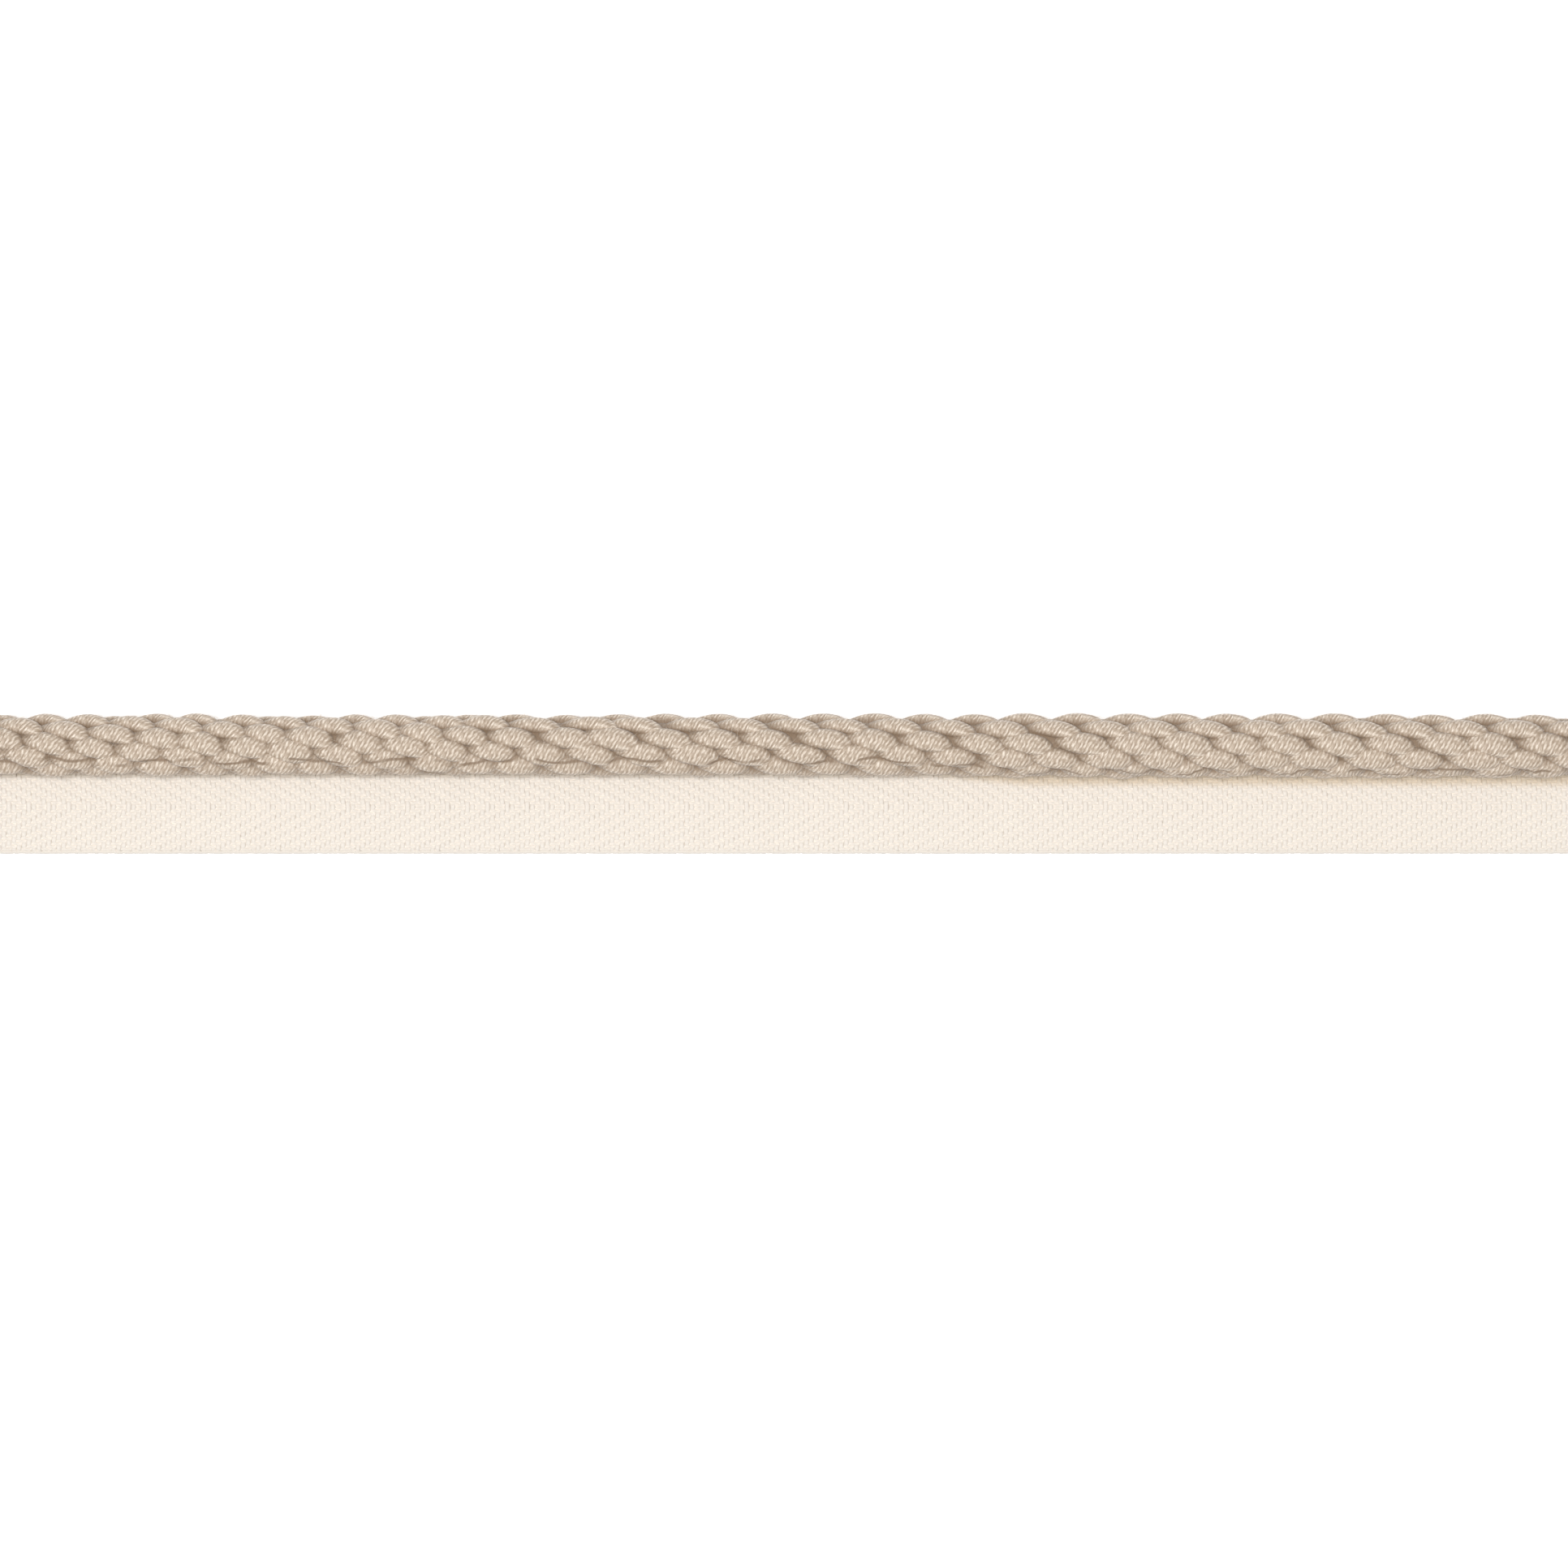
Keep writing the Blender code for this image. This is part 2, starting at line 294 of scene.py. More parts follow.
def cotton_yarn():
    """Ring-spun cotton, undyed: matt, warm cream, with a fine slanting twist and slightly uneven yarns.

    Its yarns' crests carry a painted highlight, and a painted glow, standing for the light that cotton
    lets through, fills its furrows, less so at the free edge and not under the cord. Close beside the cord
    its upper side carries painted warm shade and reflected taupe, mixed with taupe fluff. The fibres are
    drawn as bundles a ninth of a millimetre thick, because single ones are too fine to show.
    """
    material = new_material(
        "undyed ring-spun cotton", {"Roughness": 0.9, "Sheen Weight": 0.15, "Sheen Roughness": 0.5}
    )
    tree = material.node_tree
    shader = tree.nodes["Principled BSDF"]
    uv = add_node(tree, "ShaderNodeUVMap", uv_map="UVMap").outputs["UV"]
    fibres = add_node(
        tree,
        "ShaderNodeMapping",
        {"Vector": uv, "Rotation": (0, 0, COTTON_TWIST), "Scale": COTTON_FIBRES_PER_MM},
    ).outputs["Vector"]
    fibres = add_node(tree, "ShaderNodeTexNoise", {"Vector": fibres, "Scale": 1.0, "Detail": 3.0}).outputs[0]
    place = add_node(tree, "ShaderNodeTexCoord").outputs["Object"]
    patches = add_node(
        tree, "ShaderNodeTexNoise", {"Vector": place, "Scale": COTTON_PATCHES, "Detail": 3.0}
    ).outputs[0]
    tone = added_up(tree, ((fibres, 1 - PATCH_WEIGHT), (patches, PATCH_WEIGHT)))
    tone = add_node(tree, "ShaderNodeMapRange", {"Value": tone, **COTTON_TONES}).outputs["Result"]
    spot = add_node(tree, "ShaderNodeSeparateXYZ", {"Vector": place}).outputs
    height = add_node(
        tree, "ShaderNodeMath", {0: spot["Z"], 1: TAPE_MIDDLE}, operation="SUBTRACT"
    ).outputs[0]
    height = add_node(tree, "ShaderNodeMath", {0: height}, operation="ABSOLUTE").outputs[0]
    # A painted highlight on the yarns' crests, from their height
    crest = add_node(
        tree, "ShaderNodeMapRange", {"Value": height, **PAINTED_CREST_HIGHLIGHT}, interpolation_type="SMOOTHSTEP"
    ).outputs["Result"]
    tone = added_up(tree, ((tone, 1 - CREST_HIGHLIGHT_WEIGHT), (crest, CREST_HIGHLIGHT_WEIGHT)))
    colour = add_node(
        tree,
        "ShaderNodeMix",
        {"Factor": tone, 6: linear(COTTON_DEEP), 7: linear(COTTON_LIGHT)},
        data_type="RGBA",
    ).outputs[2]

    # Painted warm shade and reflected taupe beside the cord, with rubbed-off fluff, on the tape's upper side
    start = add_node(tree, "ShaderNodeMapRange", {"Value": spot["X"], **SHADE_AND_FLUFF_FROM}).outputs["Result"]
    stop = add_node(tree, "ShaderNodeMath", {0: start, 1: SHADE_AND_FLUFF_REACH}, operation="ADD").outputs[0]
    shade_and_fluff = add_node(
        tree,
        "ShaderNodeMapRange",
        {"Value": spot["Y"], "From Min": start, "From Max": stop, "To Max": SHADE_AND_FLUFF_STRENGTH},
        interpolation_type="SMOOTHSTEP",
    ).outputs["Result"]
    upper = add_node(
        tree, "ShaderNodeMath", {0: spot["Z"], 1: TAPE_MIDDLE}, operation="GREATER_THAN"
    ).outputs[0]
    shade_and_fluff = add_node(tree, "ShaderNodeMath", {0: shade_and_fluff, 1: upper}, operation="MULTIPLY").outputs[0]
    colour = add_node(
        tree, "ShaderNodeMix", {"Factor": shade_and_fluff, 6: colour, 7: linear(SHADE_AND_FLUFF_TAN)}, data_type="RGBA"
    ).outputs[2]
    tree.links.new(colour, shader.inputs["Base Color"])
    tree.links.new(colour, shader.inputs["Emission Color"])

    # A painted glow in the yarns' furrows, faded at the free edge and under the cord
    painted_furrow_glow = add_node(tree, "ShaderNodeMapRange", {"Value": height, **PAINTED_FURROW_GLOW}).outputs["Result"]
    for fade in (GLOW_FADE_AT_FREE_EDGE, GLOW_FADE_UNDER_CORD):
        share = add_node(tree, "ShaderNodeMapRange", {"Value": spot["Y"], **fade}).outputs["Result"]
        painted_furrow_glow = add_node(
            tree, "ShaderNodeMath", {0: painted_furrow_glow, 1: share}, operation="MULTIPLY"
        ).outputs[0]
    tree.links.new(painted_furrow_glow, shader.inputs["Emission Strength"])
    bump = add_node(
        tree, "ShaderNodeBump", {"Height": fibres, "Strength": 0.5, "Distance": 0.04 * MM}
    ).outputs["Normal"]
    tree.links.new(bump, shader.inputs["Normal"])
    return material


def warp_is_over(end, pick):
    """Whether the end lies over the pick: the steps run one way below the chevron line, back above it."""
    step = end if end < CHEVRON_END else 2 * CHEVRON_END - 1 - end
    return (pick - step) % TWILL_REPEAT < TWILL_REPEAT / 2


def end_height(end, pick):
    """Height of a warp end at a pick; the outermost ends run straight, inside the weft's turns."""
    if end in (0, ENDS - 1):
        return TAPE_MIDDLE
    return TAPE_MIDDLE + (WARP_SWING if warp_is_over(end, pick) else -WARP_SWING)


plain_yarn = yarn_tree("swept yarn", wrapped=False)
cotton = cotton_yarn()
chance = random.Random(WEAVE_SEED)
warp_lines = []
for end in range(ENDS):
    y = TAPE_LOW.y + EDGE_END + END_PITCH * end
    line = [((TAPE_LOW.x, y, TAPE_MIDDLE), UP, 1.0)]
    for pick in range(PICKS):
        x = TAPE_LOW.x + PICK_PITCH * (pick + 0.5)
        z = end_height(end, pick)
        waver = chance.uniform(-YARN_WAVER, YARN_WAVER)
        line.append(((x, y + waver, z), UP, chance.uniform(*YARN_SIZES)))
        if pick < PICKS - 1 and end_height(end, pick + 1) == z:
            arched = z + math.copysign(WARP_ARCH, z - TAPE_MIDDLE)
            line.append(((x + PICK_PITCH / 2, y + waver, arched), UP, WARP_ARCH_SIZE))
    line.append(((TAPE_HIGH.x, y, TAPE_MIDDLE), UP, 1.0))
    warp_lines.append(line)
warp = yarn_piece(
    "tape_warp_ends",
    warp_lines,
    plain_yarn,
    {"Half width": WARP_YARN / 2, "Flatness": 0.72, "Sides": 5, "Unevenness": 0.0, "Yarn": cotton},
)
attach(warp, "root")
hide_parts("herringbone_tape")


# Weft of the tape: one thicker cotton yarn that goes back and forth across the ends, 13.5 picks a
# centimetre. At both selvedges it is drawn thin and turns round the outermost end.
WEFT_YARN = 0.90 * MM
WEFT_SWING = 0.14 * MM
INNER_ENDS = range(1, ENDS - 1)
TURN_SIZE = 0.62
TURN_STANDS_OUT = 0.10 * MM
TURN_INSET = PICK_PITCH / 2 + TURN_SIZE * WEFT_YARN / 2 - TURN_STANDS_OUT
TURN_ANGLES = [math.radians(degrees) for degrees in (-60, -20, 20, 60)]
TAIL_Y, TAIL_SIZE = TAPE_LOW.y + 0.05 * MM, 0.8

weft_line = [((TAPE_LOW.x + PICK_PITCH / 2, TAIL_Y, TAPE_MIDDLE), UP, TAIL_SIZE)]
for pick in range(PICKS):
    x = TAPE_LOW.x + PICK_PITCH * (pick + 0.5)
    side = 1 if pick % 2 == 0 else -1
    for end in INNER_ENDS[::side]:
        y = TAPE_LOW.y + EDGE_END + END_PITCH * end
        z = TAPE_MIDDLE + (-WEFT_SWING if warp_is_over(end, pick) else WEFT_SWING)
        waver = chance.uniform(-YARN_WAVER, YARN_WAVER)
        weft_line.append(((x + waver, y, z), UP, chance.uniform(*YARN_SIZES)))
        following = end + side
        if following in INNER_ENDS and warp_is_over(following, pick) == warp_is_over(end, pick):
            weft_line.append(((x + waver, y + side * END_PITCH / 2, z), UP, 1.0))
    if pick == PICKS - 1:
        break
    middle_y = TAPE_HIGH.y - TURN_INSET if side > 0 else TAPE_LOW.y + TURN_INSET
    for angle in TURN_ANGLES:
        turn_x = x + PICK_PITCH / 2 * (1 + math.sin(angle))
        turn_y = middle_y + side * PICK_PITCH / 2 * math.cos(angle)
        weft_line.append(((turn_x, turn_y, TAPE_MIDDLE), UP, TURN_SIZE))
weft_line.append(((TAPE_HIGH.x - PICK_PITCH / 2, TAIL_Y, TAPE_MIDDLE), UP, TAIL_SIZE))
weft = yarn_piece(
    "tape_weft",
    [weft_line],
    plain_yarn,
    {"Half width": WEFT_YARN / 2, "Flatness": 0.55, "Sides": 5, "Unevenness": 0.0, "Yarn": cotton},
)
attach(weft, "root")
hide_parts("herringbone_tape")


# Strands of the braid: nine rows of floats lie round the cord, each row five ninths of a float on from
# the last. A float comes up from under its neighbours, swells, and dives back bluntly into the cord.
# Its strand is a soft bundle of taupe yarn, wound across by its own hard twist.
CORD_DIAMETER = 9.6 * MM
CORD_RADIUS = CORD_DIAMETER / 2
CORD_LOW, CORD_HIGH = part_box("braided_cord")
CORD_Y = CORD_HIGH.y - CORD_RADIUS
CORD_Z = CORD_HIGH.z - CORD_RADIUS
ROWS = 9
ROWS_IN_PIECE = 3
ROW_SHIFT = 5 / ROWS
ROW_STEP = math.radians(360 / ROWS)
FIRST_ROW_ANGLE = math.radians(-14)
SEWN_SIDE_ANGLE = math.radians(45)
SEWN_SIDE_CROWDING = 0.18
BRAID_SEED = 7

# Floats counted along the cord, and how many rows the braid has turned about its axis
COUNT_AT = {"x": (-120 * MM, -40.6 * MM, 120 * MM), "floats": (-11.93, 0.0, 21.13)}
TURN_AT = {
    "x": (-120 * MM, -85 * MM, -50 * MM, -38 * MM, 16 * MM, 28 * MM, 120 * MM),
    "rows": (3.6, 2.1, 0.7, 0.45, 0.35, 0.1, 0.05),
}

# One float: its length in counts of floats, its slope in rows, and how much one differs from another
FLOAT_SHARES = (0.0, 0.06, 0.14, 0.24, 0.36, 0.48, 0.60, 0.72, 0.82, 0.90, 0.96, 1.0)
FLOAT_START, FLOAT_END = -0.60, 0.56
FLOAT_CROWN = 0.62
FLOAT_SLOPE, FLOAT_SWEEP = 0.42, 1.6
FLOAT_LEAN = math.radians(18)
FLOAT_TOP = 4.95 * MM
FLOAT_DEPTH, FLOAT_END_DEPTH = 1.9 * MM, 1.3 * MM
FLOAT_START_SIZE, FLOAT_END_SIZE = 0.45, 0.62
FLOAT_END_TIP = 0.9
DIVE_RADIUS = 1.9 * MM
START_DIVE, END_DIVE = {"step": -0.02, "ahead": -0.6}, {"step": 0.01, "ahead": 0.95}
UNEVEN_SHIFT = 0.08
UNEVEN_STAND = 0.28 * MM
UNEVEN_SWELL = (0.91, 1.09)
UNEVEN_SLOPE = 0.17

# The seam draws the braid's sewn side in, and on the right each float's edge bulges out of it again
SEWN_IN = {"x": (22 * MM, 36 * MM), "depth": (0.60 * MM, 0.42 * MM)}
SEWN_IN_ANGLE, SEWN_IN_SPREAD = math.radians(95), math.radians(50)
EDGE_BULGE = 0.34 * MM

# A line of sunk stitches sways along the cord, higher on the left, and holds the yarn down in dashes
STITCH_LINE = {"x": (20 * MM, 34 * MM), "angle": (math.radians(31), math.radians(61))}
STITCH_SWAY = ((2.7 * MM, math.radians(5)), (1.13 * MM, math.radians(3)))
STITCH_HELD = 0.75
STITCH_GAPS = ((1.9 * MM, 0.6), (0.83 * MM, 0.4))
STITCH_PULL, STITCH_PULL_SPREAD = 0.45 * MM, 0.45 * MM
STITCH_PULL_FROM = 3.2 * MM
# Painted shade along the stitch line, broken where the stitches hold less
STITCH_SHADE = {"From Min": 0.075, "From Max": 0.02, "To Min": 0.0, "To Max": 0.9}
STITCH_SHADE_HELD = {"From Min": 0.25, "From Max": 0.7}

# A strand: its bundle and the wraps round it
STRAND_HALF_WIDTH = 1.75 * MM
STRAND_FLATNESS = 0.80
STRAND_GIRTH = 2 * math.pi * STRAND_HALF_WIDTH
WRAP_PITCH = 0.52 * MM
WRAP_HEIGHT = 0.03 * MM
WRAP_STARTS = 6
WRAP_UNEVENNESS = 0.5 * MM
POINTS_PER_FLOAT = 60
STRAND_SIDES = 12

# Taupe yarn: its colours, from a painted highlight through its own taupe to a dark end that is partly
# painted shade, the marks on it in a millimetre, and what its tone and relief are made of. The weights
# are those of the wraps, the ticks and the fibres; in the tone the wraps give painted light and shade,
# and the ticks painted glints.
STRAND_HIGHLIGHT, STRAND_MIDDLE, STRAND_DEEP = "#EFE3D4", "#BDAB98", "#9E8A76"
GLINT_TICKS_PER_MM = (3.3, 1.15, 1.0)
FIBRES_PER_MM = (11.0, 1.4, 1.0)
PAINTED_LIGHT_AND_TONE_WEIGHTS = (0.20, 1.0, 0.5)
RELIEF_WEIGHTS = (0.6, 1.0, 0.7)
STRAND_TONES = {"From Min": 0.62, "From Max": 1.13}

# Shade in the furrows, by the distance from the cord's axis and from the middle of a strand's back
FURROW_SHADE = "#87725D"
FURROW_RADII = {"From Min": 3.4 * MM, "From Max": 4.55 * MM}
STRAND_BACK = {"From Min": 0.36, "From Max": 0.20}

# The cord's cut faces: how deep they reach, how far they are kept out of the painted shade, how uneven they
# are, and their speckle
CUT_FACE = 0.5 * MM
CUT_FACE_LIGHT = 0.8
CUT_UNEVENNESS = (0.05 * MM, 0.4 * MM)
SPECKLES = 4.5 / MM
SHORTEST_STUB = 1.0 * MM

# Where the cord rests: on the tape, and past the tape's hidden edge on the floor
ABOVE_FLOOR = 0.02 * MM
SEAT_STEP = 0.6 * MM


def x_of_count(count):
    """Place along the cord of a count of floats."""
    return float(np.interp(count, COUNT_AT["floats"], COUNT_AT["x"]))


def rows_turned(count):
    """How many rows the braid has turned about its axis there."""
    return float(np.interp(x_of_count(count), TURN_AT["x"], TURN_AT["rows"]))


def angle_of_place(place):
    """Angle of a place counted in rows, from the top of the cord towards the tape."""
    even = FIRST_ROW_ANGLE + place * ROW_STEP
    return even - SEWN_SIDE_CROWDING * math.sin(even - SEWN_SIDE_ANGLE)


def float_rise(share):
    """How far a float has come up at a share of its length: slowly from its start, and blunt at its end."""
    if share < FLOAT_CROWN:
        return math.sin(share / FLOAT_CROWN * math.pi / 2)
    return math.sqrt(1 - ((share - FLOAT_CROWN) / (1 - FLOAT_CROWN)) ** 2)


def drawn_in(x, angle, count):
    """How far the seam draws the braid in at a place, less what each float's edge bulges out again."""
    off = (angle - SEWN_IN_ANGLE + math.pi) % (2 * math.pi) - math.pi
    if abs(off) >= SEWN_IN_SPREAD:
        return 0.0
    bulge = (1 + math.cos(2 * math.pi * count)) / 2 * float(np.interp(x, SEWN_IN["x"], (0, 1)))
    depth = float(np.interp(x, SEWN_IN["x"], SEWN_IN["depth"])) - EDGE_BULGE * bulge
    return depth * math.cos(off / SEWN_IN_SPREAD * math.pi / 2)


def float_line(row, number, chance):
    """Guide line of one float: it leans, so that its lower edge stands out over the next row."""
    middle = number + row * ROW_SHIFT + chance.uniform(-UNEVEN_SHIFT, UNEVEN_SHIFT)
    top = FLOAT_TOP + chance.uniform(-UNEVEN_STAND, 0.0)
    swell = chance.uniform(*UNEVEN_SWELL)
    slope = FLOAT_SLOPE + chance.uniform(-UNEVEN_SLOPE, UNEVEN_SLOPE)
    line = []

    def add_point(along, radius, size, ahead):
        x = x_of_count(middle + along)
        angle = angle_of_place(row - rows_turned(middle) + slope * along + FLOAT_SWEEP * along**3)
        radius -= drawn_in(x, angle, middle + along)
        place = (x, CORD_Y - radius * math.sin(angle), CORD_Z + radius * math.cos(angle))
        tilted = angle - FLOAT_LEAN
        level = math.sqrt(1 - ahead * ahead)
        outward = (ahead, -level * math.sin(tilted), level * math.cos(tilted))
        line.append((place, outward, size))

    add_point(FLOAT_START + START_DIVE["step"], DIVE_RADIUS, FLOAT_START_SIZE, START_DIVE["ahead"])
    for share in FLOAT_SHARES:
        if share < FLOAT_CROWN:
            low_size, depth, ahead = FLOAT_START_SIZE, FLOAT_DEPTH, 0.0
        else:
            low_size, depth = FLOAT_END_SIZE, FLOAT_END_DEPTH
            ahead = FLOAT_END_TIP * ((share - FLOAT_CROWN) / (1 - FLOAT_CROWN)) ** 3
        rise = float_rise(share)
        size = swell * (low_size + (1 - low_size) * rise)
        radius = top - depth * (1 - rise) - size * STRAND_HALF_WIDTH * STRAND_FLATNESS
        add_point(FLOAT_START + (FLOAT_END - FLOAT_START) * share, radius, size, ahead)
    add_point(FLOAT_END + END_DIVE["step"], DIVE_RADIUS, FLOAT_END_SIZE, END_DIVE["ahead"])
    return line


def cut_line(line, chance):
    """The stretch of a strand's guide line that is left when the cord is cut square at both ends, or None."""
    cut = LENGTH / 2 - chance.uniform(*CUT_UNEVENNESS)
    xs = [place[0] for place, _, _ in line]
    if xs[0] >= -cut and xs[-1] <= cut:
        return line
    first, last = max(xs[0], -cut), min(xs[-1], cut)
    if last - first < SHORTEST_STUB:
        return None
    values = np.array([(*place, *outward, size) for place, outward, size in line])
    kept = [first, *(x for x in xs if first < x < last), last]
    rows = [[float(np.interp(x, xs, column)) for column in values.T] for x in kept]
    return [(tuple(row[:3]), tuple(row[3:6]), row[6]) for row in rows]


def swaying(tree, along, level, waves):
    """Nodes for a level plus sine waves along the cord, each with its period and reach."""
    for period, reach in waves:
        wave = add_node(tree, "ShaderNodeMath", {0: along, 1: period}, operation="DIVIDE").outputs[0]
        wave = add_node(tree, "ShaderNodeMath", {0: wave}, operation="SINE").outputs[0]
        level = added_up(tree, ((wave, reach),), level)
    return level


def stitch_shade(tree, along, across):
    """Nodes for how deep the sunk stitches shade the yarn, from the places along the cord and across it."""
    to_tape = add_node(tree, "ShaderNodeMath", {0: across["Y"], 1: -1.0}, operation="MULTIPLY").outputs[0]
    angle = add_node(
        tree, "ShaderNodeMath", {0: to_tape, 1: across["Z"]}, operation="ARCTAN2"
    ).outputs[0]
    (left, right), (left_angle, right_angle) = STITCH_LINE["x"], STITCH_LINE["angle"]
    line = add_node(
        tree,
        "ShaderNodeMapRange",
        {"Value": along, "From Min": left, "From Max": right, "To Min": left_angle, "To Max": right_angle},
    ).outputs["Result"]
    line = swaying(tree, along, line, STITCH_SWAY)
    off = add_node(tree, "ShaderNodeMath", {0: angle, 1: line}, operation="SUBTRACT").outputs[0]
    off = add_node(tree, "ShaderNodeMath", {0: off}, operation="ABSOLUTE").outputs[0]
    painted_stitch_shade = add_node(
        tree, "ShaderNodeMapRange", {"Value": off, **STITCH_SHADE}, interpolation_type="SMOOTHSTEP"
    ).outputs["Result"]
    held = swaying(tree, along, STITCH_HELD, STITCH_GAPS)
    held = add_node(tree, "ShaderNodeMapRange", {"Value": held, **STITCH_SHADE_HELD}).outputs["Result"]
    return add_node(tree, "ShaderNodeMath", {0: painted_stitch_shade, 1: held}, operation="MULTIPLY").outputs[0]


def taupe_yarn():
    """Soft spun yarn in taupe, hard twisted: a faint silky sheen, light wraps with shaded furrows between.

    The light on its wraps and the shade in the furrows between are painted, and so are the glints of its
    ticks. It carries painted shade where a strand lies deep, turns its side or is held by a sunk stitch,
    and its cut faces are speckled. Ticks, fibres and speckles are drawn coarser than single fibres, which
    wouldn't show.
    """
    material = new_material(
        "taupe soft-spun yarn", {"Roughness": 0.62, "Sheen Weight": 0.25, "Sheen Roughness": 0.4}
    )
    tree = material.node_tree
    shader = tree.nodes["Principled BSDF"]
    uv = add_node(tree, "ShaderNodeUVMap", uv_map="UVMap").outputs["UV"]
    uv = add_node(tree, "ShaderNodeSeparateXYZ", {"Vector": uv}).outputs
    # Painted light on the wraps' crests and painted shade between them; the ticks are painted glints
    slanting = added_up(tree, ((uv["Y"], WRAP_STARTS * WRAP_PITCH / STRAND_GIRTH),), uv["X"])
    wraps = add_node(
        tree, "ShaderNodeMath", {0: slanting, 1: math.pi * MM / WRAP_PITCH}, operation="MULTIPLY"
    ).outputs[0]
    wave = add_node(tree, "ShaderNodeMath", {0: wraps}, operation="SINE").outputs[0]
    patterns = [add_node(tree, "ShaderNodeMath", {0: wave}, operation="ABSOLUTE").outputs[0]]
    slanting = add_node(tree, "ShaderNodeCombineXYZ", {"X": slanting, "Y": uv["Y"]}).outputs[0]
    for marks in (GLINT_TICKS_PER_MM, FIBRES_PER_MM):
        spaced = add_node(tree, "ShaderNodeMapping", {"Vector": slanting, "Scale": marks}).outputs["Vector"]
        noise = add_node(tree, "ShaderNodeTexNoise", {"Vector": spaced, "Scale": 1.0, "Detail": 2.0})
        patterns.append(noise.outputs[0])
    tone = added_up(tree, zip(patterns, PAINTED_LIGHT_AND_TONE_WEIGHTS))
    tone = add_node(tree, "ShaderNodeMapRange", {"Value": tone, **STRAND_TONES}).outputs["Result"]

    place = add_node(tree, "ShaderNodeTexCoord").outputs["Object"]
    along = add_node(tree, "ShaderNodeSeparateXYZ", {"Vector": place}).outputs["X"]
    from_middle = add_node(tree, "ShaderNodeMath", {0: along}, operation="ABSOLUTE").outputs[0]
    cut = add_node(
        tree, "ShaderNodeMath", {0: from_middle, 1: LENGTH / 2 - CUT_FACE}, operation="GREATER_THAN"
    ).outputs[0]
    speckles = add_node(
        tree, "ShaderNodeTexNoise", {"Vector": place, "Scale": SPECKLES, "Detail": 1.0}
    ).outputs[0]
    tone = add_node(
        tree, "ShaderNodeMix", {"Factor": cut, 2: tone, 3: speckles}, data_type="FLOAT"
    ).outputs[0]
    ramp = add_node(tree, "ShaderNodeValToRGB", {"Fac": tone})
    ramp.color_ramp.elements[0].color = linear(STRAND_DEEP)
    ramp.color_ramp.elements[1].color = linear(STRAND_HIGHLIGHT)
    ramp.color_ramp.elements.new(0.5).color = linear(STRAND_MIDDLE)

    # Painted shade where a strand lies deep or turns its side, and along the stitches; the cut faces are kept
    # out of it
    across = add_node(
        tree, "ShaderNodeVectorMath", {0: place, 1: (0, CORD_Y, CORD_Z)}, operation="SUBTRACT"
    ).outputs["Vector"]
    across = add_node(
        tree, "ShaderNodeVectorMath", {0: across, 1: (0, 1, 1)}, operation="MULTIPLY"
    ).outputs["Vector"]
    radius = add_node(tree, "ShaderNodeVectorMath", {0: across}, operation="LENGTH").outputs["Value"]
    outside = add_node(
        tree, "ShaderNodeMapRange", {"Value": radius, **FURROW_RADII}, interpolation_type="SMOOTHSTEP"
    ).outputs["Result"]
    side = added_up(tree, ((uv["Y"], MM / STRAND_GIRTH),), -0.5)
    side = add_node(tree, "ShaderNodeMath", {0: side}, operation="ABSOLUTE").outputs[0]
    back = add_node(
        tree, "ShaderNodeMapRange", {"Value": side, **STRAND_BACK}, interpolation_type="SMOOTHSTEP"
    ).outputs["Result"]
    lit = add_node(tree, "ShaderNodeMath", {0: outside, 1: back}, operation="MULTIPLY").outputs[0]
    across = add_node(tree, "ShaderNodeSeparateXYZ", {"Vector": across}).outputs
    painted_stitch_shade = stitch_shade(tree, along, across)
    clear_of_stitch_shade = add_node(tree, "ShaderNodeMath", {0: 1.0, 1: painted_stitch_shade}, operation="SUBTRACT").outputs[0]
    lit = add_node(tree, "ShaderNodeMath", {0: lit, 1: clear_of_stitch_shade}, operation="MULTIPLY").outputs[0]
    cut = add_node(tree, "ShaderNodeMath", {0: cut, 1: CUT_FACE_LIGHT}, operation="MULTIPLY").outputs[0]
    lit = add_node(tree, "ShaderNodeMath", {0: lit, 1: cut}, operation="MAXIMUM").outputs[0]
    colour = add_node(
        tree,
        "ShaderNodeMix",
        {"Factor": lit, 6: linear(FURROW_SHADE), 7: ramp.outputs["Color"]},
        data_type="RGBA",
    ).outputs[2]
    tree.links.new(colour, shader.inputs["Base Color"])

    relief = added_up(tree, zip(patterns, RELIEF_WEIGHTS))
    bump = add_node(
        tree, "ShaderNodeBump", {"Height": relief, "Strength": 0.8, "Distance": 0.10 * MM}
    ).outputs["Normal"]
    tree.links.new(bump, shader.inputs["Normal"])
    return material


def mesh_places(mesh):
    """The mesh's points, one row for each."""
    places = np.empty(len(mesh.vertices) * 3, np.float32)
    mesh.vertices.foreach_get("co", places)
    return places.reshape(-1, 3)


def move_mesh(mesh, places):
    """Put the mesh's points at the places."""
    mesh.vertices.foreach_set("co", places.ravel())
    mesh.update()


